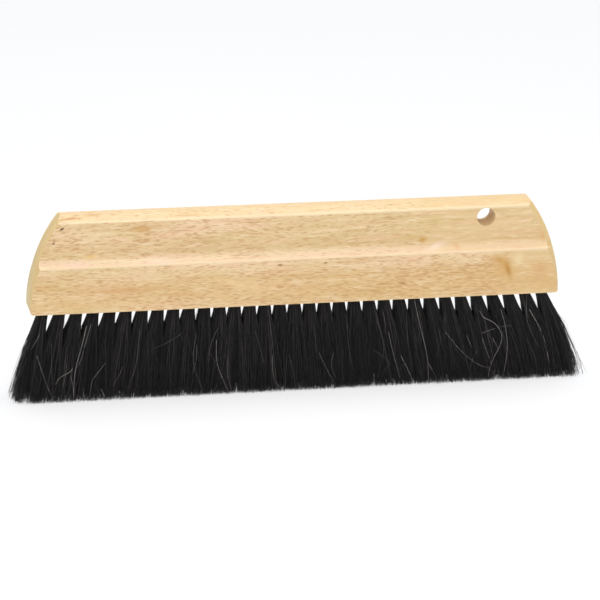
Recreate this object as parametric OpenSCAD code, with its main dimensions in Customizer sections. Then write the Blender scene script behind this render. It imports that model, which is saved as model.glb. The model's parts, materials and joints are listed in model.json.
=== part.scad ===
// Bee brush: a moulded wooden block with one row of horsehair tufts.
// Each tuft is folded round a flat wire anchor and pressed into its own blind hole.
// The holes fan out from the middle of the row to its ends.
// Frame: the origin is on the surface that the trimmed tips stand on, under the middle
// of the block. +X runs along the block to the hanging hole, +Z up, and the front is -Y.

/* [Block] */
// Length over the widest part of the ends
block_l = 300; // [280:5:340]
// Height of the wood from its underside to the flat top
block_h = 55; // [50:1:65]
// Thickness of the lower part, which holds the tufts
block_t = 20; // [18:0.5:26]
// Height of the flat lower part
lower_h = 26.5; // [22:0.5:30]
// Thickness of the grip above the cove
grip_t = 14; // [11:0.5:16]
// Radius of the cove between the lower part and the grip
cove_r = 4.2; // [3:0.2:6]
// Height of the bevel along each top edge
bevel_h = 4; // [2:0.2:7]
// Width of the flat strip left on the very top
top_t = 7; // [4:0.5:10]

/* [Block ends] */
// Radius of the bowed ends, seen from the front
end_r = 83; // [72:1:120]
// Height above the underside at which the ends are widest
end_belly_h = 4; // [3:1:12]
// Radius of the two bottom corners
corner_r = 2; // [1:0.5:3]
// Width of the sanded bevel on the grip, at the plain end
grip_rim_plain = 1.2; // [0.4:0.1:4.5]
// Width of the same bevel at the end with the hanging hole
grip_rim_hang = 2.8; // [0.4:0.1:4.5]
// Width of the bevel at the top of the lower part, at the plain end
low_rim_plain = 2.2; // [1:0.1:4.5]
// Width of the same bevel at the end with the hanging hole
low_rim_hang = 3.6; // [1:0.1:4.5]
// Depth of the bevel on the grip, measured from its faces
rim_d = 2.2; // [1.2:0.1:3]

/* [Hanging hole] */
// Diameter of the hole that the brush hangs by
hang_d = 10.5; // [6:0.5:12]
// Distance of the hole from the end of the block
hang_inset = 42.5; // [35:0.5:120]
// Distance of the hole's centre below the top
hang_drop = 9.5; // [9:0.5:16]

/* [Tufts] */
// Number of tufts in the row, an odd number with one in the middle
tuft_count = 33; // [21:2:33]
// Distance from an end of the block to the centre of its end tuft
row_inset = 8.5; // [6.5:0.5:10]
// How much the spacing opens out towards the ends, as a share
row_spread = 0.05; // [0:0.01:0.06]
// Lean of the two end tufts; those between lean in proportion
end_lean = 15; // [0:1:16]
// Diameter of the drilled holes
hole_d = 6.2; // [5.5:0.1:7]
// Depth of the drilled holes along their own axis
hole_depth = 14; // [10:1:18]
// Length of hair that stands out of the wood
hair_l = 51; // [40:1:60]
// Length over which a tuft swells just below the wood
shoulder_l = 10; // [5:1:12]
// Width of a tuft at the end of that swelling
shoulder_d = 8.8; // [7.6:0.1:10]
// Thickness of the row at its trimmed tips, from front to back
tip_t = 15; // [10.5:0.5:18]

/* [Anchors] */
// Length of the flat wire across a hole, which bites into the wood on both sides
anchor_l = 8; // [7.6:0.2:10]
// Width of the wire, along the hole
anchor_h = 2.4; // [1.6:0.2:3]
// Thickness of the wire
anchor_t = 0.5; // [0.3:0.1:0.8]
// Thickness of the fold of hair between the anchor and the bottom of the hole
fold_h = 2; // [1.2:0.2:3]

/* [Fits] */
// Gap between a tuft's root and the wall of its hole
root_clear = 0.15; // [0.1:0.05:0.3]
// Gap all round an anchor
anchor_clear = 0.1; // [0.05:0.05:0.2]
// Gap between neighbouring tufts where they close up
tuft_gap = 0.3; // [0.2:0.1:0.6]

/* [Hidden] */
$fn = 64;
// A cutter runs this far past the face that it opens
over = 1;

half_n = (tuft_count - 1) / 2;
row_l = block_l - 2 * row_inset;
root_d = hole_d - 2 * root_clear;
// The tuft leaves its hole as a straight collar, so that its swelling clears the wood
collar_l = (root_d / 2) * tan(end_lean) + root_clear;
// The hair cone is made longer than the hair and trimmed level
trim_l = hair_l / cos(end_lean) + tip_t * tan(end_lean);
// Widening of a tuft between its shoulder and its tips, per millimetre
skirt_slope = (tip_t - shoulder_d) / 2 / (hair_l - shoulder_l);

// Centre of one end's arc, and the fillet that blends it into the underside
end_cx = block_l / 2 - end_r;
fillet_cx = end_cx + sqrt(pow(end_r - corner_r, 2) - pow(end_belly_h - corner_r, 2));
fillet_a = atan2(corner_r - end_belly_h, fillet_cx - end_cx);
fillet_top = end_belly_h + end_r * sin(fillet_a);
// The lower part stands out from the grip by this much on each face
step_d = (block_t - grip_t) / 2;
// Both runs of the end bevel reach the end on one line, so the lower run is this deep
low_rim_d = step_d + rim_d;
// On the front face the lower run starts this much lower, so that the two clearly cross
rim_lap = 0.15 * rim_d;

hang_x = block_l / 2 - hang_inset;
hang_z = hair_l + block_h - hang_drop;

wood = "burlywood";
hair = "#1c1a1c";
steel = "silver";

function two_digits(i) = i < 10 ? str("0", i) : str(i);
function tuft_name(i) = str("tuft_", two_digits(i));
// Tufts are numbered from the end away from the hanging hole; k counts from the middle
function from_middle(i) = i - 1 - half_n;
function row_x(k) =
    let (u = k / half_n)
    row_l / 2 * u * (1 + row_spread * u * u) / (1 + row_spread);
function lean(k) = end_lean * k / half_n;
// Where the plane between tufts k and k + 1 stands at height z
function between_x(k, z) =
    (row_x(k) + row_x(k + 1)) / 2
    + (hair_l - z) * tan((lean(k) + lean(k + 1)) / 2);

// Puts children on the axis of hole k, with z = 0 at its mouth and +z into the wood
module at_hole(k) {
    translate([row_x(k), 0, hair_l])
        rotate([0, -lean(k), 0])
            children();
}

// Stands a shape drawn in x and z upright, centred on the row, t thick
module upright(t) {
    rotate([90, 0, 0])
        linear_extrude(t, center = true)
            children();
}

// The wood left between two bottom corners and their fillets, at one end
module corner_waste() {
    difference() {
        translate([fillet_cx, -over])
            square([block_l / 2 - fillet_cx + over, fillet_top + over]);
        translate([fillet_cx, corner_r])
            circle(corner_r);
    }
}

// Front view of the block, with its underside at 0
module block_outline() {
    difference() {
        intersection() {
            translate([-block_l / 2, 0])
                square([block_l, block_h]);
            union() {
                translate([-end_cx, 0])
                    square([2 * end_cx, block_h]);
                for (side = [-1, 1])
                    translate([side * end_cx, end_belly_h])
                        circle(end_r, $fn = 180);
            }
        }
        corner_waste();
        mirror([1, 0])
            corner_waste();
    }
}

// End view of the block, drawn with the height along x: lower part, grip and top bevels
module block_section() {
    grip_h = block_h - bevel_h;
    difference() {
        polygon([
            [0, -block_t / 2],
            [lower_h + cove_r, -block_t / 2],
            [lower_h + cove_r, -grip_t / 2],
            [grip_h, -grip_t / 2],
            [block_h, -top_t / 2],
            [block_h, top_t / 2],
            [grip_h, grip_t / 2],
            [lower_h + cove_r, grip_t / 2],
            [lower_h + cove_r, block_t / 2],
            [0, block_t / 2]
        ]);
        for (side = [-1, 1])
            translate([lower_h + cove_r, side * (grip_t / 2 + cove_r)])
                circle(cove_r);
    }
}

// What a bevel takes off the front at one end, between the heights z1 and z2: all that lies
// outside a profile turned about the middle of the end's arc, given as [radius, y] points
module rim_waste(profile, centre_z, z1, z2) {
    y1 = profile[0][1];
    y2 = profile[len(profile) - 1][1];
    difference() {
        translate([end_cx, y1, z1])
            cube([end_r + over, y2 - y1, z2 - z1]);
        translate([end_cx, 0, centre_z])
            rotate([-90, 0, 0])
                rotate_extrude($fn = 180)
                    polygon(concat([[0, y1]], profile, [[0, y2]]));
    }
}

// The bevel of one end on its front: an even width on the grip, and a lower run that narrows
// towards the underside. The lower run follows the end's arc, set lower, so that the two
// runs meet at the top of the lower part.
module end_bevel(grip_rim, low_rim) {
    front_y = -block_t / 2;
    face_y = -grip_t / 2;
    rise = lower_h - end_belly_h;
    drop = sqrt(pow(rise, 2) + low_rim * (2 * end_r - low_rim)) - rise + rim_lap;
    rim_waste([
        [end_r - low_rim, front_y - over],
        [end_r - low_rim, front_y],
        [end_r - grip_rim, face_y],
        [end_r + over * grip_rim / rim_d, face_y + rim_d + over]
    ], end_belly_h, lower_h, block_h + over);
    rim_waste([
        [end_r, front_y - over],
        [end_r, front_y],
        [end_r + low_rim + over * low_rim / low_rim_d, front_y + low_rim_d + over]
    ], end_belly_h - drop, -over, lower_h);
}

// An anchor lies across its hole, from front to back, under the fold of hair
module anchor_bar(clear) {
    translate([
        -anchor_t / 2 - clear,
        -anchor_l / 2 - clear,
        hole_depth - fold_h - anchor_h - clear
    ])
        cube([anchor_t + 2 * clear, anchor_l + 2 * clear, anchor_h + 2 * clear]);
}

module handle_block() {
    color(wood)
        difference() {
            translate([0, 0, hair_l])
                difference() {
                    intersection() {
                        upright(block_t + 2 * over)
                            block_outline();
                        rotate([0, -90, 0])
                            linear_extrude(block_l + 2 * over, center = true)
                                block_section();
                    }
                    for (face = [0, 1])
                        mirror([0, face, 0]) {
                            end_bevel(grip_rim_hang, low_rim_hang);
                            mirror([1, 0, 0])
                                end_bevel(grip_rim_plain, low_rim_plain);
                        }
                }
            translate([hang_x, 0, hang_z])
                rotate([90, 0, 0])
                    cylinder(h = block_t + 2 * over, d = hang_d, center = true);
            for (k = [-half_n:half_n])
                at_hole(k) {
                    translate([0, 0, -hole_d])
                        cylinder(h = hole_depth + hole_d, d = hole_d);
                    anchor_bar(anchor_clear);
                }
        }
}

module tuft_anchors() {
    color(steel)
        for (k = [-half_n:half_n])
            at_hole(k)
                anchor_bar(0);
}

// The space that one tuft may fill: a voussoir between the planes to its neighbours
module tuft_space(k) {
    upright(2 * tip_t)
        polygon([
            [between_x(k - 1, hair_l) + tuft_gap / 2, hair_l],
            [between_x(k, hair_l) - tuft_gap / 2, hair_l],
            [between_x(k, 0) - tuft_gap / 2, 0],
            [between_x(k - 1, 0) + tuft_gap / 2, 0]
        ]);
}

// The hair that stands out of the wood, before it is trimmed: shoulder, then skirt
module hair_cone() {
    skirt_l = trim_l - shoulder_l;
    translate([0, 0, -shoulder_l])
        cylinder(h = shoulder_l - collar_l, d1 = shoulder_d, d2 = root_d);
    translate([0, 0, -trim_l])
        cylinder(h = skirt_l, d1 = shoulder_d + 2 * skirt_slope * skirt_l, d2 = shoulder_d);
}

module tuft(k) {
    color(hair)
        difference() {
            union() {
                at_hole(k)
                    translate([0, 0, -collar_l])
                        cylinder(h = collar_l + hole_depth - root_clear, d = root_d);
                intersection() {
                    at_hole(k)
                        hair_cone();
                    tuft_space(k);
                }
            }
            at_hole(k)
                anchor_bar(anchor_clear);
        }
}

handle_block();
tuft_anchors();
for (i = [1:tuft_count])
    tuft(from_middle(i));
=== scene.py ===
"""A wooden bee brush with one row of black horsehair tufts, dressed round its CAD frame."""

import json
import math

import bpy
import numpy as np
from mathutils import Matrix, Vector


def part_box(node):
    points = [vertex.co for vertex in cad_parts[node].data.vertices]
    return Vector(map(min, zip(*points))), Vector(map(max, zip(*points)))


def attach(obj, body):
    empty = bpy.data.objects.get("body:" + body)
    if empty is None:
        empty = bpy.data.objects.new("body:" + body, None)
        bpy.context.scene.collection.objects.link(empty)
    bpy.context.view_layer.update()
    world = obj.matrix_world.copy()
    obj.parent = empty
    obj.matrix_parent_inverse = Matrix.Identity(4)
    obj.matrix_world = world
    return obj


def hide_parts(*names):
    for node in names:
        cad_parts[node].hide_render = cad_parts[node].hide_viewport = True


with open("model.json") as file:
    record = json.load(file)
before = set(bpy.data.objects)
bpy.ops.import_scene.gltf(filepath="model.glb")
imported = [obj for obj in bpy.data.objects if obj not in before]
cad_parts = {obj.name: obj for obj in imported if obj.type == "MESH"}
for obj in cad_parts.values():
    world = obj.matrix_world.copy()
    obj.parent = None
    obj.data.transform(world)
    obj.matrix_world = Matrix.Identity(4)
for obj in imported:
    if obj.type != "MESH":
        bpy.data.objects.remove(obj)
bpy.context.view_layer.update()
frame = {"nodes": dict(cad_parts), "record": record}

MM = 0.001
TUFTS = sorted(name for name in frame["nodes"] if name.startswith("tuft_") and name != "tuft_anchors")
# The underside of the wood, where the hair starts; the hair is trimmed at z = 0
HAIR_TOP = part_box("handle_block")[0][2]
HANG_HOLE = next(mount for mount in frame["record"]["mounts"] if mount["name"] == "hang_hole")

# ------------------------------------------------------------------ camera, light, floor

# Viewing angle of the photograph in degrees, from the front left and a little above
VIEW_AZIMUTH = -11.155
VIEW_ELEVATION = 18.236
VIEW_ROLL = 0.962
VIEW_DISTANCE = 2.0355
VIEW_TARGET = Vector((0.0032, 0.0, HAIR_TOP - 1.1 * MM))
# Focal length and sensor width in millimetres
VIEW_LENS = 217.554
VIEW_SENSOR = 36.0
# The floor is a square that reaches this far to each side
FLOOR_HALF = 12.0


def make_camera():
    cam = bpy.data.objects.new("camera", bpy.data.cameras.new("camera"))
    bpy.context.collection.objects.link(cam)
    a, e = math.radians(VIEW_AZIMUTH), math.radians(VIEW_ELEVATION)
    back = Vector((math.sin(a) * math.cos(e), -math.cos(a) * math.cos(e), math.sin(e)))
    turn = (-back).to_track_quat("-Z", "Y").to_matrix().to_4x4()
    roll = Matrix.Rotation(math.radians(VIEW_ROLL), 4, "Z")
    cam.matrix_world = Matrix.Translation(VIEW_TARGET + back * VIEW_DISTANCE) @ turn @ roll
    cam.data.sensor_width = VIEW_SENSOR
    cam.data.lens = VIEW_LENS
    cam.data.clip_start, cam.data.clip_end = 0.05, 50.0
    bpy.context.scene.camera = cam


def area_light(name, place, size, power):
    """A rectangular light that aims at the brush: place and size in metres, power in watts."""
    data = bpy.data.lights.new(name, "AREA")
    data.shape = "RECTANGLE"
    data.size, data.size_y = size
    data.energy = power
    lamp = bpy.data.objects.new(name, data)
    lamp.location = place
    aim = Vector((0.0, 0.0, 0.06)) - Vector(place)
    lamp.rotation_euler = aim.to_track_quat("-Z", "Y").to_euler()
    bpy.context.collection.objects.link(lamp)


def make_lights():
    scene = bpy.context.scene
    scene.view_settings.view_transform = "Standard"
    scene.world = bpy.data.worlds.new("studio")
    scene.world.use_nodes = True
    sky = scene.world.node_tree.nodes["Background"]
    sky.inputs["Color"].default_value = (1.0, 1.0, 1.0, 1.0)
    sky.inputs["Strength"].default_value = 0.60
    area_light("key", (-0.3, -1.5, 1.8), (1.4, 1.2), 18.0)
    area_light("top", (0.2, 0.2, 1.8), (1.4, 1.0), 13.0)


def make_floor():
    corners = [(-1, -1), (1, -1), (1, 1), (-1, 1)]
    mesh = bpy.data.meshes.new("floor")
    mesh.from_pydata([(x * FLOOR_HALF, y * FLOOR_HALF, 0) for x, y in corners], [], [(0, 1, 2, 3)])
    mesh.materials.append(floor_material())
    floor = bpy.data.objects.new("floor", mesh)
    bpy.context.collection.objects.link(floor)


# ------------------------------------------------------------------ materials


def tone(red, green, blue):
    """A colour given from 0 to 255 as a screen shows it, turned into linear light."""
    parts = [c / 255 for c in (red, green, blue)]
    linear = [c / 12.92 if c <= 0.04045 else ((c + 0.055) / 1.055) ** 2.4 for c in parts]
    return (*linear, 1.0)


class Graph:
    """A material built from nodes: its methods take values or sockets and give sockets."""

    def __init__(self, name):
        self.material = bpy.data.materials.new(name)
        self.material.use_nodes = True
        self.tree = self.material.node_tree

    def put(self, socket, value):
        if isinstance(value, bpy.types.NodeSocket):
            self.tree.links.new(value, socket)
        else:
            socket.default_value = value

    def node(self, kind, inputs, **settings):
        node = self.tree.nodes.new("ShaderNode" + kind)
        for key, value in settings.items():
            setattr(node, key, value)
        for key, value in inputs.items():
            self.put(node.inputs[key], value)
        return node

    def math(self, operation, a, b=0.0):
        return self.node("Math", {0: a, 1: b}, operation=operation).outputs[0]

    def plus(self, a, b):
        return self.math("ADD", a, b)

    def minus(self, a, b):
        return self.math("SUBTRACT", a, b)

    def times(self, a, b):
        return self.math("MULTIPLY", a, b)

    def vector(self, operation, a, b):
        return self.node("VectorMath", {0: a, 1: b}, operation=operation).outputs[0]

    def upwards(self, height):
        return self.node("CombineXYZ", {2: height}).outputs[0]

    def split(self, vector):
        return self.node("SeparateXYZ", {0: vector}).outputs

    def place_mm(self):
        """The place on the object, in millimetres."""
        place = self.node("TexCoord", {}).outputs["Object"]
        return self.vector("MULTIPLY", place, (1 / MM, 1 / MM, 1 / MM))

    def hair_map(self):
        """The number that a strand's map carries as u, and how far along the strand it is."""
        strand, along, _ = self.split(self.node("UVMap", {}, uv_map="OFBake").outputs["UV"])
        return strand, along

    def pick(self, number):
        """A random value from 0 to 1 for each number."""
        return self.node("TexWhiteNoise", {"W": number}, noise_dimensions="1D").outputs["Value"]

    def noise(self, place, waves, detail=2.0, roughness=0.5):
        """Noise from 0 to 1. waves gives the size of its blobs along x, y and z."""
        place = self.vector("DIVIDE", place, waves)
        inputs = {"Vector": place, "Scale": 1.0, "Detail": detail, "Roughness": roughness}
        return self.node("TexNoise", inputs).outputs[0]

    def fade(self, value, start, end):
        """0 before start, 1 after end, and smooth between them."""
        inputs = {"Value": value, "From Min": start, "From Max": end}
        return self.node("MapRange", inputs, interpolation_type="SMOOTHSTEP").outputs[0]

    def band(self, value, start, full, ebb, end):
        """1 from full to ebb, fading to 0 at start and end."""
        return self.times(self.fade(value, start, full), self.fade(value, end, ebb))

    def spot(self, place, centre, size, turn=0.0):
        """A soft blob of a given half-size, 1 in its middle, turned about y by some degrees."""
        inputs = {"Vector": place, "Location": centre, "Scale": size}
        inputs["Rotation"] = (0.0, math.radians(turn), 0.0)
        inner = self.node("Mapping", inputs, vector_type="TEXTURE").outputs[0]
        blob = self.node("TexGradient", {"Vector": inner}, gradient_type="QUADRATIC_SPHERE")
        return blob.outputs["Fac"]

    def mix(self, amount, a, b):
        return self.node("Mix", {0: amount, 6: a, 7: b}, data_type="RGBA", blend_type="MIX").outputs[2]

    def tint(self, colour, amount, strength, over):
        """Lays another colour over this one where amount is 1, at a strength from 0 to 1."""
        return self.mix(self.times(amount, strength), colour, over)

    def ramp(self, value, stops):
        node = self.node("ValToRGB", {"Fac": value})
        elements = node.color_ramp.elements
        while len(elements) < len(stops):
            elements.new(0.5)
        for element, (place, colour) in zip(elements, stops):
            element.position = place
            element.color = colour
        return node.outputs["Color"]

    def bump(self, height, strength, depth):
        inputs = {"Height": height, "Strength": strength, "Distance": depth}
        return self.node("Bump", inputs).outputs[0]

    def shade(self, inputs):
        """Sets the shader's inputs and gives the finished material."""
        shader = self.tree.nodes["Principled BSDF"]
        for name, value in inputs.items():
            self.put(shader.inputs[name], value)
        return self.material


def floor_material():
    g = Graph("studio_floor")
    place = g.node("TexCoord", {}).outputs["Object"]
    mottle = g.noise(place, (0.4, 0.4, 0.4), detail=3.0)
    return g.shade({
        "Base Color": g.mix(mottle, tone(172, 173, 176), tone(178, 179, 181)),
        "Emission Color": (1.0, 1.0, 1.0, 1.0),
        "Emission Strength": 0.52,
        "Roughness": 0.9,
    })


# The wood's places are in millimetres: x, y and the height above its underside. Those on its
# front lie between the faces of the lower part and of the grip
FRONT_Y = -8.0
UNDERSIDE = HAIR_TOP / MM
KNOT_X = 120.0
KNOT_HEIGHT = 15.0

# Marks on the front of the wood: place (x, height above the underside) and half-size in
# millimetres, turn in degrees, strength, and the colour that they bring
MARKS = [
    ((-131.9, 48.3), (1.6, 0.6), -30, 1.4, (84, 56, 34)),  # chip beside the end bevel
    ((-136.1, 41.6), (0.5, 0.4), 0, 1.2, (118, 84, 54)),
    ((-136.6, 40.2), (0.8, 0.45), 0, 1.4, (84, 56, 34)),
    ((-87.9, 46.4), (6.0, 2.6), 0, 0.45, (216, 170, 106)),
    ((-98.0, 12.4), (30.0, 2.4), 0, 0.42, (214, 164, 110)),  # long streaks in the lower part
    ((-64.0, 8.5), (18.0, 1.8), 3, 0.35, (212, 164, 110)),
    ((-34.0, 13.5), (26.0, 3.2), 14, 0.32, (240, 210, 156)),
    ((-60.0, 34.0), (60.0, 1.8), -1, 0.3, (206, 174, 122)),  # and above the cove
    ((-116.2, 31.7), (5.5, 2.2), 0, 0.4, (232, 192, 120)),
    ((71.3, 33.7), (3.0, 2.2), 0, 0.75, (206, 158, 86)),
    ((64.0, 36.0), (9.0, 3.0), 0, 0.4, (210, 180, 116)),
    ((90.8, 29.3), (3.2, 2.2), 30, 0.35, (230, 178, 124)),
    ((134.8, 41.6), (1.4, 2.4), 30, 0.4, (196, 190, 126)),
    ((136.8, 40.8), (0.6, 0.9), 0, 0.3, (176, 144, 96)),
    ((140.6, 33.0), (2.4, 4.5), -14, 0.35, (222, 166, 104)),
    ((118.0, 16.5), (7.5, 8.0), 0, 0.35, (212, 164, 92)),
    ((120.4, 14.8), (2.2, 7.0), -18, 0.7, (194, 142, 66)),  # knot streak
    ((115.7, 20.5), (7.0, 4.0), 30, 0.6, (204, 156, 86)),
    ((109.5, 21.0), (6.0, 3.4), 30, 0.3, (206, 164, 104)),
    ((126.2, 20.5), (4.5, 5.5), 0, 0.6, (238, 214, 166)),  # pale patch beside it
    ((139.0, 13.0), (6.0, 9.0), 0, 0.25, (210, 156, 102)),
    ((-10.4, 23.3), (1.8, 0.7), 0, 0.9, (160, 116, 70)),
    ((15.4, 23.3), (1.2, 0.7), 0, 0.8, (150, 106, 62)),
    ((60.0, 9.5), (2.0, 0.7), 0, 0.6, (160, 114, 68)),
    ((79.0, 29.6), (8.0, 2.4), -20, 0.5, (250, 226, 204)),  # pale pink streaks in the cove, partly painted highlight
    ((-124.0, 27.6), (14.0, 1.8), 0, 0.35, (250, 214, 196)),
    ((-78.0, 27.8), (16.0, 1.6), 0, 0.35, (252, 228, 206)),
    ((-127.0, 53.4), (8.0, 0.7), -3, 0.9, (206, 158, 100)),  # brown streak along the top
    ((-115.0, 54.6), (6.0, 0.7), 3, 0.7, (214, 168, 112)),
    ((-60.0, 53.0), (12.0, 0.7), 1, 0.5, (222, 178, 122)),
]
# A blob fades towards its rim, so each one is drawn wider and stronger than the mark that shows
MARK_WIDER = 1.4
MARK_STRONGER = 2.0
MARK_DEPTH = 14.0


def wood_grain(g, place, x):
    """The place in wood whose grain runs along x, wanders up and down and dips at the knot."""
    wander = g.times(g.minus(g.noise(place, (90.0, 26.0, 26.0)), 0.5), 10.0)
    ripple = g.minus(g.noise(place, (24.0, 7.0, 7.0)), 0.5)
    grain = g.vector("ADD", place, g.upwards(g.plus(wander, ripple)))
    near = g.spot(place, (KNOT_X, FRONT_Y, KNOT_HEIGHT + UNDERSIDE), (30.0, 60.0, 18.0))
    slope = g.times(g.minus(x, KNOT_X), -0.45)
    return g.vector("ADD", grain, g.upwards(g.times(near, slope)))


def wood_levels(g, x, height):
    """Masks from 0 to 1 of the block's levels, of its painted highlights and painted shade, and of its
    right end.
    """
    browner = g.plus(0.48, g.times(g.fade(x, -60.0, 150.0), 0.2))
    calm_from = g.times(g.fade(height, 28.0, 24.0), 45.0)
    highlight_slant = g.plus(height, g.times(x, 0.004))
    return {
        # Half-way up the lower part, stronger towards the right end
        "low": g.times(g.band(height, -3.0, 5.0, 14.0, 24.0), browner),
        # Painted highlight along the lip of the cove, where it faces up to the light
        "lip_highlight": g.band(height, 25.5, 26.2, 26.7, 27.2),
        # The cove, which gets a pink tint and a painted highlight
        "cove": g.band(height, 26.3, 26.6, 28.6, 32.0),
        # Painted shade on the grip just above the cove
        "shade_above_cove": g.band(height, 30.0, 33.0, 36.0, 42.0),
        # Painted highlight along the top edge of the front, its lower boundary slanting a little along x
        "arris_highlight": g.times(g.fade(highlight_slant, 50.3, 50.8), g.fade(height, 52.4, 51.6)),
        "top": g.fade(height, 50.6, 51.4),
        # The smoother wood at the right end, which starts 45 mm later in the lower part
        "calm": g.fade(g.minus(x, calm_from), 55.0, 85.0),
    }


def wood_ground(g, place, grain, streaks, levels):
    """The wood's colour without its pores and marks, with a painted highlight along the cove and a
    painted shade above it.
    """
    zones = g.noise(place, (52.0, 30.0, 13.0))
    zone_tones = [(0.3, tone(222, 196, 143)), (0.5, tone(231, 203, 157)), (0.7, tone(236, 203, 163))]
    colour = g.ramp(zones, zone_tones)
    # Long soft streaks, darker and lighter, and places with a flush of pink
    colour = g.tint(colour, g.fade(streaks, 0.5, 0.68), 0.62, tone(213, 175, 124))
    colour = g.tint(colour, g.fade(streaks, 0.5, 0.3), 0.6, tone(244, 218, 178))
    flush = g.noise(grain, (26.0, 5.0, 4.0))
    colour = g.tint(colour, g.fade(flush, 0.52, 0.75), 0.5, tone(240, 196, 162))
    # Browner in the lower part, greyer above the cove as a painted shade, paler at the top
    colour = g.mix(levels["low"], colour, tone(219, 180, 122))
    colour = g.tint(colour, levels["shade_above_cove"], 0.4, tone(218, 188, 138))
    colour = g.tint(colour, levels["top"], 0.6, tone(242, 214, 168))
    # Paler and pinker along the cove: a pink tint with a painted highlight where the cove turns up to
    # the light; and yellower near the right end
    pink = g.noise(grain, (22.0, 3.0, 1.4))
    pink = g.ramp(pink, [(0.35, tone(246, 214, 188)), (0.65, tone(250, 226, 188))])
    colour = g.tint(colour, levels["cove"], 0.6, pink)
    return g.tint(colour, levels["calm"], 0.3, tone(222, 188, 130))


def wood_pores(g, place, grain, x, levels):
    """Short fine dashes along the grain, as a mask: crowded in some places, few where it's calm."""
    crowd = g.times(g.minus(g.noise(place, (34.0, 12.0, 10.0), detail=1.0), 0.5), 0.22)
    crowd = g.minus(crowd, g.times(g.plus(levels["top"], levels["cove"]), 0.05))
    near_knot = g.times(levels["low"], g.band(x, 20.0, 70.0, 110.0, 135.0))
    crowd = g.plus(crowd, g.times(near_knot, 0.09))
    fine = g.plus(g.noise(grain, (4.2, 0.42, 0.6), detail=1.0), crowd)
    return g.times(g.fade(fine, 0.51, 0.67), g.minus(1.0, g.times(levels["calm"], 0.65)))


def wood_marks(g, place, colour):
    for (mark_x, height), (half_x, half_z), turn, strength, mark in MARKS:
        size = (half_x * MARK_WIDER, MARK_DEPTH, half_z * MARK_WIDER)
        blob = g.spot(place, (mark_x, FRONT_Y, height + UNDERSIDE), size, turn)
        amount = g.node("Clamp", {"Value": g.times(blob, strength * MARK_STRONGER)}).outputs[0]
        colour = g.mix(amount, colour, tone(*mark))
    return colour


def wood_ends(g, place, x, colour):
    """End grain on the end faces and their bevels: golden, orange beside its inner edge."""
    normal_x, _, _ = g.split(g.node("NewGeometry", {}).outputs["Normal"])
    turned = g.math("ABSOLUTE", normal_x)
    golden = g.noise(place, (3.0, 3.0, 9.0), detail=3.0)
    golden = g.ramp(golden, [(0.3, tone(214, 188, 130)), (0.7, tone(230, 206, 152))])
    end_tone = g.tint(golden, g.fade(turned, 0.97, 0.88), 0.35, tone(228, 190, 134))
    at_end = g.times(g.fade(turned, 0.25, 0.5), g.fade(g.math("ABSOLUTE", x), 118.0, 120.0))
    return g.mix(at_end, colour, end_tone)


def wood_hole(g, place, colour):
    """The wall and the rim of the hanging hole."""
    centre = [c / MM for c in HANG_HOLE["pos_m"]]
    radius = HANG_HOLE["dims"]["r_mm"]
    aside = g.vector("MULTIPLY", g.vector("SUBTRACT", place, centre), (1.0, 0.0, 1.0))
    away = g.node("VectorMath", {0: aside}, operation="LENGTH").outputs["Value"]
    return g.mix(g.fade(away, radius + 0.45, radius + 0.1), colour, tone(222, 192, 144))


def wood_material():
    g = Graph("sanded_beech")
    place = g.place_mm()
    x, _, z = g.split(place)
    levels = wood_levels(g, x, g.minus(z, UNDERSIDE))
    grain = wood_grain(g, place, x)
    streaks = g.noise(grain, (34.0, 2.2, 2.2), detail=3.0, roughness=0.6)
    pores = wood_pores(g, place, grain, x, levels)
    pale = g.noise(grain, (9.0, 1.2, 1.2), detail=1.0)
    colour = wood_ground(g, place, grain, streaks, levels)
    colour = g.tint(colour, pores, 0.58, tone(192, 142, 92))
    colour = g.tint(colour, g.fade(pale, 0.54, 0.7), 0.3, tone(250, 229, 194))
    # Painted highlights along the top edge of the front and along the lip of the cove, where these edges
    # catch the light
    colour = g.tint(colour, levels["arris_highlight"], 0.5, tone(248, 228, 192))
    colour = g.tint(colour, levels["lip_highlight"], 0.6, tone(251, 229, 194))
    colour = wood_marks(g, place, colour)
    colour = wood_ends(g, place, x, colour)
    colour = wood_hole(g, place, colour)
    relief = g.minus(g.times(streaks, 0.3), g.times(pores, 0.6))
    return g.shade({
        "Base Color": colour,
        "Roughness": g.plus(0.5, g.times(pores, 0.2)),
        "Specular IOR Level": 0.3,
        "Normal": g.bump(relief, 0.35, 0.06 * MM),
    })


def horsehair_material():
    """Black hair. The map's u tells the strands apart, and each lock has an equal part of it."""
    g = Graph("horsehair")
    strand, along = g.hair_map()
    lock = g.math("FLOOR", g.times(strand, LOCKS))
    colour = g.ramp(g.pick(strand), [
        (0.0, (0.007, 0.0065, 0.0075, 1.0)),
        (0.62, (0.016, 0.0148, 0.0155, 1.0)),
        (0.86, (0.036, 0.032, 0.031, 1.0)),
        (1.0, (0.13, 0.12, 0.115, 1.0)),
    ])
    colour = g.tint(colour, g.pick(g.plus(lock, 0.37)), 0.35, (0.004, 0.004, 0.005, 1.0))
    colour = g.tint(colour, g.fade(along, 0.6, 1.0), 0.25, (0.022, 0.019, 0.018, 1.0))
    return g.shade({"Base Color": colour, "Roughness": 0.42, "Specular IOR Level": 0.28})


def stray_material():
    """Loose hairs. The map's u says how pale each one is."""
    g = Graph("pale_horsehair")
    how_pale, along = g.hair_map()
    colour = g.ramp(how_pale, [(0.0, (0.05, 0.045, 0.042, 1.0)), (1.0, (0.78, 0.76, 0.72, 1.0))])
    along_each = g.node("CombineXYZ", {0: g.times(along, 9.0), 1: how_pale}).outputs[0]
    uneven = g.noise(along_each, (1.0, 0.02, 1.0))
    colour = g.tint(colour, g.fade(uneven, 0.45, 0.7), 0.5, (0.06, 0.055, 0.05, 1.0))
    return g.shade({"Base Color": colour, "Roughness": 0.4})


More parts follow.
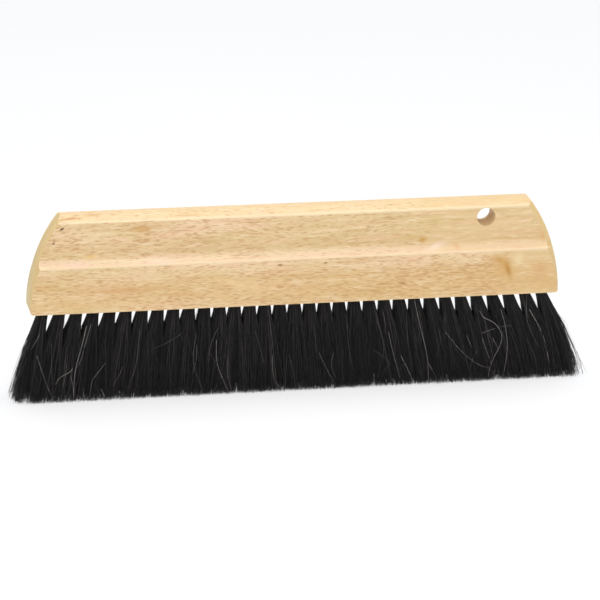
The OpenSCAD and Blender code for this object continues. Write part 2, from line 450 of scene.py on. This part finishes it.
def wire_material():
    g = Graph("anchor_wire")
    drawn = g.noise(g.place_mm(), (0.2, 6.0, 0.2), detail=3.0)
    return g.shade({
        "Base Color": g.ramp(drawn, [(0.3, tone(150, 150, 148)), (0.7, tone(198, 197, 192))]),
        "Metallic": 1.0,
        "Roughness": g.plus(0.3, g.times(drawn, 0.15)),
    })


# ------------------------------------------------------------------ hair

# Locks and strands in each tuft, rings along each strand and corners in each ring
LOCKS = 12
STRANDS = 1250
RINGS = 11
CORNERS = 3
# Strands start this far up inside their hole
ROOT_DEPTH = 3 * MM
# The random draws of the first tuft and of the loose hairs start from these
TUFT_SEED = 1000
STRAY_SEED = 77
# Tufts are counted from the middle of the row, up to this many to each side
HALF_N = (len(TUFTS) - 1) / 2
# The row: half of its length, how much its pitch widens, and how far its last holes lean out
ROW_HALF = 141.5 * MM
ROW_SPREAD = 0.05
HOLE_LEAN = math.radians(15)
# Half of the hair's thickness from front to back: in a hole, then what it gains just below the
# wood, and at the tips
ROOT_R = 2.87 * MM
SWELL = 0.8 * MM
TIP_Y = 11.8 * MM


def row_x(k):
    """Where the hole of tuft k lies along the row; k counts from the middle."""
    u = k / HALF_N
    return ROW_HALF * u * (1 + ROW_SPREAD * u * u) / (1 + ROW_SPREAD)


def swept_lean(u):
    """Lean of the hair in radians at place u, from -1 to 1 along the row, brushed towards +x."""
    return math.radians(2.2 + 14.35 * u + 0.75 * u * u)


def centre_line(u, depth):
    """How far the middle of a tuft at place u has moved along x at a depth below the wood."""
    bend = 8 * MM
    start, end = math.tan(HOLE_LEAN * u), math.tan(swept_lean(u))
    free = np.maximum(depth, 0)
    # The last tufts of the row bulge outwards half-way down, most at the right end
    bulge = u * abs(u) * (1.35 + 0.65 * u) * MM * np.sin(math.pi * free / HAIR_TOP)
    return end * depth - (end - start) * bend * (1 - np.exp(-free / bend)) + bulge


def half_thickness(u, depth):
    """Half of the row's thickness from front to back at place u and a depth below the wood."""
    d = np.maximum(depth, 0)
    root = ROOT_R + SWELL * (1 - np.exp(-d / (6 * MM)))
    return root + (TIP_Y - MM * u - ROOT_R - SWELL) * d / HAIR_TOP


def tube_mesh(name, paths, radii, numbers):
    """One mesh of closed thin tubes, each with its own number as the map's u.

    paths has the shape (strands, rings, 3) and radii (strands, rings).
    """
    strands, rings, _ = paths.shape
    along = np.gradient(paths, axis=1)
    along /= np.linalg.norm(along, axis=2, keepdims=True)
    side = np.cross(along, np.array([0.0, 1.0, 0.0]))
    side /= np.linalg.norm(side, axis=2, keepdims=True)
    other = np.cross(along, side)
    angles = [2 * math.pi * i / CORNERS for i in range(CORNERS)]
    around = [paths + radii[:, :, None] * (math.cos(a) * side + math.sin(a) * other) for a in angles]
    verts = np.stack(around, axis=2).reshape(-1, 3)

    first = np.arange(strands)[:, None, None] * rings * CORNERS
    ring = np.arange(rings - 1)[None, :, None] * CORNERS
    corner = np.arange(CORNERS)
    a = first + ring + corner
    b = first + ring + (corner + 1) % CORNERS
    quads = np.stack([a, b, b + CORNERS, a + CORNERS], axis=-1).reshape(-1, 4)
    last = first + (rings - 1) * CORNERS
    caps = np.concatenate([first[:, 0] + corner[::-1], last[:, 0] + corner])
    loops = np.concatenate([quads.ravel(), caps.ravel()])
    cap_starts = quads.size + np.arange(len(caps)) * CORNERS
    starts = np.concatenate([np.arange(len(quads)) * 4, cap_starts])

    mesh = bpy.data.meshes.new(name)
    mesh.vertices.add(len(verts))
    mesh.vertices.foreach_set("co", verts.astype(np.float32).ravel())
    mesh.loops.add(len(loops))
    mesh.loops.foreach_set("vertex_index", loops.astype(np.int32))
    mesh.polygons.add(len(starts))
    mesh.polygons.foreach_set("loop_start", starts.astype(np.int32))
    layer = mesh.uv_layers.new(name="OFBake")
    u = np.repeat(numbers[:, None], rings, axis=1)
    v = np.broadcast_to(np.linspace(0.02, 0.98, rings), (strands, rings))
    uv = np.repeat(np.stack([u, v], axis=-1)[:, :, None, :], CORNERS, axis=2).reshape(-1, 2)
    layer.data.foreach_set("uv", uv[loops].astype(np.float32).ravel())
    mesh.update(calc_edges=True)
    mesh.polygons.foreach_set("use_smooth", np.ones(len(starts), dtype=bool))
    mesh.validate()
    return mesh


def add_hair(name, paths, radii, numbers, material):
    mesh = tube_mesh(name, paths, radii, numbers)
    mesh.materials.append(material)
    piece = bpy.data.objects.new(name, mesh)
    bpy.context.collection.objects.link(piece)
    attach(piece, "root")
    return piece


def wave(rng, strands, t, waves):
    """A soft random wave along each strand, 0 at the root."""
    out = np.zeros((strands, t.shape[-1]))
    for w in range(1, waves + 1):
        phase = rng.uniform(0, 2 * math.pi, (strands, 1))
        size = rng.normal(0, 1.0 / w, (strands, 1))
        out += size * (np.sin(w * math.pi * t + phase) - np.sin(phase))
    return out


def some(rng, share):
    """True for a random share of the strands."""
    return rng.uniform(0, 1, STRANDS) < share


def draw_locks(rng):
    """Each strand's place in a square tuft, its lock, that lock's middle and how it is drawn in."""
    square = rng.uniform(-1, 1, (STRANDS, 2))
    middles = rng.uniform(-1, 1, (LOCKS, 2)) * 0.9
    lock = np.argmin(((square[:, None, :] - middles[None]) ** 2).sum(axis=2), axis=1)
    drawn = rng.uniform(0.0, 0.25, LOCKS)[lock]
    return square, lock, middles[lock], drawn


def draw_tips(rng, u, last, square, lock):
    """How much shorter each strand is, and how far its tip flicks out along x."""
    short = np.abs(rng.normal(0, 0.55 * MM, STRANDS)) + np.abs(rng.normal(0, 0.1 * MM, LOCKS))[lock]
    short += some(rng, 0.06) * rng.uniform(0, 8 * MM, STRANDS)
    # On the outer side of the last tufts some hairs end early and flick outwards
    outer = (square[:, 0] * u > 0.3) & last & some(rng, 0.16 + 0.1 * u)
    short += outer * rng.uniform(0, 30 * MM, STRANDS)
    flick = np.minimum(np.abs(rng.normal(0, 1.3 * MM, STRANDS)), 2.2 * MM)
    return short, np.sign(u) * outer * flick


def draw_places(rng, u, last, square, middle, drawn, part, loose):
    """Where each strand is in its tuft along its way: across and deep, from -1 to 1."""
    disc = square * np.sqrt(1 - square[:, ::-1] ** 2 / 2)
    if last:
        # The outer side of the last tuft at each end stays round
        loose = loose * (square[:, :1] * u < 0)
    place = disc[:, None, :] * (1 - loose[:, :, None]) + square[:, None, :] * loose[:, :, None]
    pull = drawn[:, None] * part ** 1.3
    place = place + (middle[:, None, :] - place) * pull[:, :, None]
    spread = 1 + 0.25 * some(rng, 0.25)[:, None] * part * (not last)
    deep = np.sign(place[:, :, 1]) * np.abs(place[:, :, 1]) ** 0.75
    return place[:, :, 0] * spread, deep


def draw_leans(rng, u, last, lock):
    """How much each strand leans along x: the lean of its lock and its own."""
    lock_lean = rng.normal(0, 0.013, LOCKS)[lock]
    own_lean = rng.normal(0, 0.028, STRANDS) * np.where(some(rng, 0.12), 2.2, 1)
    own_lean = own_lean * (1 + 0.1 * max(u, 0))
    if last:
        own_lean = np.where(own_lean * u > 0, 0.75 + 0.15 * u, 1) * own_lean
        own_lean = np.clip(own_lean, -0.08, 0.08)
    return lock_lean + own_lean


def make_tuft(index, name, material):
    rng = np.random.default_rng(TUFT_SEED + index)
    k = index - HALF_N
    u = k / HALF_N
    last = abs(k) == HALF_N
    # A tuft widens by flare until it meets its neighbours, then by creep
    pitch = row_x(k + 0.5) - row_x(k - 0.5)
    flare = 0.092 + 0.008 * u + rng.uniform(-0.006, 0.006)
    closed = (pitch / 2 - ROOT_R) / flare
    creep = 0.075 + 0.015 * abs(u)

    square, lock, middle, drawn = draw_locks(rng)
    short, flick = draw_tips(rng, u, last, square, lock)
    t = np.linspace(0, 1, RINGS)[None, :] ** 1.25
    depth = -ROOT_DEPTH + (HAIR_TOP + ROOT_DEPTH - short[:, None]) * t
    free = np.maximum(depth, 0)
    part = free / HAIR_TOP  # 0 at the wood, 1 at the tips
    loose = np.clip(part * 2.5, 0, 1)  # 1 from where the strands lie freely

    across, deep = draw_places(rng, u, last, square, middle, drawn, part, loose)
    lean = draw_leans(rng, u, last, lock)[:, None]
    width = ROOT_R + flare * np.minimum(free, closed) + creep * np.maximum(free - closed, 0)
    x = row_x(k) + centre_line(u, depth) + across * width
    x = x + lean * free * loose
    curl = 0.45 * MM * np.where(some(rng, 0.15), 2.2, 1)[:, None]
    x = x + curl * wave(rng, STRANDS, t, 3) * part
    x = x + 0.35 * MM * wave(rng, LOCKS, t, 2)[lock] * part
    x = x + flick[:, None] * t ** 3
    y = deep * half_thickness(u, depth) + rng.normal(0, 0.012, STRANDS)[:, None] * free * part
    y = y + 0.3 * MM * wave(rng, STRANDS, t, 3) * part
    y = np.clip(y, -TIP_Y - 1.5 * MM, TIP_Y + 1.5 * MM)
    paths = np.stack([x, y, HAIR_TOP - depth], axis=-1)
    radii = rng.uniform(0.085, 0.125, (STRANDS, 1)) * MM * (1 - 0.4 * t ** 3)
    numbers = (lock + rng.uniform(0.02, 0.98, STRANDS)) / LOCKS
    piece = add_hair(name + "_hair", paths, radii, numbers, material)
    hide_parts(name)


# Loose hairs on the front, given one by one: how pale, then points (x, depth below the wood) in mm
STRAYS = [
    # Left end
    (1.0, [(-118.3, 8.9), (-120.5, 17.4), (-122.7, 24.4), (-124.4, 29.9), (-125.6, 35.4), (-126.2, 41.7),
           (-126.5, 48.8)]),
    (0.7, [(-115.8, 8.2), (-119.4, 19.8), (-121.9, 27.6), (-124.5, 32.3)]),
    (1.0, [(-126.5, 32.2), (-129.3, 34.4), (-133.8, 36.6), (-136.5, 40.0)]),
    (0.7, [(-127.9, 36.1), (-126.8, 40.9), (-126.2, 48.1)]),
    (0.7, [(-146.4, 24.1), (-144.0, 32.1), (-141.1, 41.0), (-138.1, 48.3)]),
    (0.6, [(-108.4, 29.9), (-112.1, 34.5), (-115.8, 39.1), (-116.8, 43.8), (-117.7, 48.5)]),
    (0.7, [(-111.0, 44.1), (-109.6, 47.3), (-108.5, 50.2)]),
    (0.6, [(-144.6, 12.4), (-147.2, 17.0), (-149.6, 20.4)]),
    (0.4, [(-88.5, 12), (-91, 31), (-95.5, 44)]),
    (0.3, [(-65, 15.5), (-73, 20), (-82.5, 23.5)]),
    # Middle
    (0.5, [(-56.5, 22), (-57, 30), (-59.5, 39)]),
    (0.8, [(-45.5, 20), (-45, 34), (-39, 50)]),
    (0.6, [(-14, 30), (-13, 43.5), (-8.5, 49.5)]),
    (0.6, [(13, 30), (15.5, 36), (22, 48.5)]),
    (0.7, [(53, 20), (55, 30), (59.5, 47)]),
    # Right end
    (0.9, [(105.8, 10.6), (108.2, 14.4), (113.2, 17.0), (117.0, 20.9), (118.8, 25.9), (117.4, 31.5),
           (114.0, 37.5), (111.7, 43.6), (110.7, 48.4)]),
    (0.7, [(86, 22), (95, 33), (103.2, 39.9), (107.8, 42.5), (111.9, 43.2)]),
    (1.0, [(134.9, 11.1), (139.1, 18.6), (142.5, 25.4), (145.0, 33.7), (146.3, 41.2)]),
    (0.8, [(118.2, 10.4), (120.7, 19.4), (121.9, 29.3), (121.3, 39.1), (119.2, 48.9)]),
    (0.5, [(107.0, 23.3), (110.7, 22.1), (115.3, 20.8)]),
    (0.4, [(118.6, 20.0), (122.4, 19.9), (124.5, 20.0)]),
    (0.6, [(107.4, 26.2), (109.0, 31.1), (110.7, 36.1), (112.4, 41.1)]),
    (0.6, [(98.2, 24.1), (99.9, 28.2), (101.4, 30.9)]),
    (0.6, [(113.2, 26.0), (114.9, 29.4), (116.1, 31.6)]),
    (0.8, [(68, 2.5), (71, 16.5), (75, 34), (76, 49.5)]),
    (0.9, [(60, 34), (64, 42), (67.5, 50)]),
    (0.6, [(76, 39), (79, 44.5), (81.5, 50)]),
    # Dark hairs that stand off at the two ends
    (0.0, [(151, 13), (154.5, 17.5), (156.7, 23.7)]),
    (0.0, [(152.5, 18.5), (156.5, 27.8), (159.3, 36.9)]),
    (0.0, [(156.5, 29), (160.0, 37), (162.2, 46)]),
    (0.0, [(159.3, 41.5), (161.4, 45.7), (163.2, 50)]),
    (0.0, [(154.6, 22), (156.8, 28), (161, 35.5)]),
    (0.1, [(151.5, 15), (156.5, 20), (158.5, 26)]),
    (0.0, [(-155.5, 31), (-160, 40.5), (-162, 46.5)]),
    (0.0, [(-157, 39), (-160.5, 45.5), (-162, 50)]),
    (0.0, [(-155, 42), (-157.5, 47), (-159.5, 50.3)]),
]
# Rings along each loose hair, and how many more lie at random places on the front and the back
STRAY_RINGS = 25
LOOSE_STRAYS = 70


def smooth_path(points):
    """A curve of STRAY_RINGS points that passes smoothly through the given ones."""
    points = np.array(points, dtype=float)
    before, after = 2 * points[0] - points[1], 2 * points[-1] - points[-2]
    p = np.concatenate([[before], points, [after]])
    place = np.linspace(0, len(points) - 1 - 1e-6, STRAY_RINGS)
    i = place.astype(int)
    f = (place - i)[:, None]
    p0, p1, p2, p3 = p[i], p[i + 1], p[i + 2], p[i + 3]
    bend = (2 * p0 - 5 * p1 + 4 * p2 - p3) * f ** 2 + (3 * p1 - p0 - 3 * p2 + p3) * f ** 3
    return 0.5 * (2 * p1 + (p2 - p0) * f + bend)


def loose_stray(rng):
    """Points of a random loose hair, which drifts and bows a little from the hair under it."""
    u = rng.uniform(-0.97, 0.97)
    start = rng.uniform(2, 34)
    end = min(start + rng.uniform(10, 34), 50)
    slope = math.tan(swept_lean(u))
    drift = slope + rng.normal(0, 0.16)
    bow = rng.normal(0, 2.2)
    x = u * ROW_HALF / MM + slope * start
    middle = (x + drift * (end - start) / 2 + bow, (start + end) / 2)
    return [(x, start), middle, (x + drift * (end - start), end)]


def make_strays(material):
    rng = np.random.default_rng(STRAY_SEED)
    flat, pale, face = [], [], []
    for how_pale, points in STRAYS:
        flat.append(smooth_path(points) * MM)
        pale.append(how_pale)
        face.append(-1)
    for _ in range(LOOSE_STRAYS):
        flat.append(smooth_path(loose_stray(rng)) * MM)
        pale.append(rng.uniform(0.05, 0.45))
        face.append(rng.choice([-1, 1]))
    flat, pale, face = np.array(flat), np.array(pale), np.array(face, dtype=float)
    # They lie on the hair of the front or the back, or stand off it a little
    depth = np.clip(flat[:, :, 1], 0, HAIR_TOP - 0.5 * MM)
    lift = rng.uniform(0.0, 0.5 * MM, (len(flat), 1))
    y = face[:, None] * (half_thickness(flat[:, :, 0] / ROW_HALF, depth) + lift)
    paths = np.stack([flat[:, :, 0], y, HAIR_TOP - depth], axis=-1)
    t = np.linspace(0, 1, STRAY_RINGS)[None, :]
    radii = (0.05 + 0.03 * pale[:, None]) * MM * (1 - 0.5 * t ** 2)
    add_hair("stray_hairs", paths, radii, pale, material)


# ------------------------------------------------------------------ making

make_camera()
make_lights()
make_floor()
bpy.data.objects["handle_block"].material_slots[0].material = wood_material()
bpy.data.objects["tuft_anchors"].material_slots[0].material = wire_material()
horsehair = horsehair_material()
for index, name in enumerate(TUFTS):
    make_tuft(index, name, horsehair)
make_strays(stray_material())
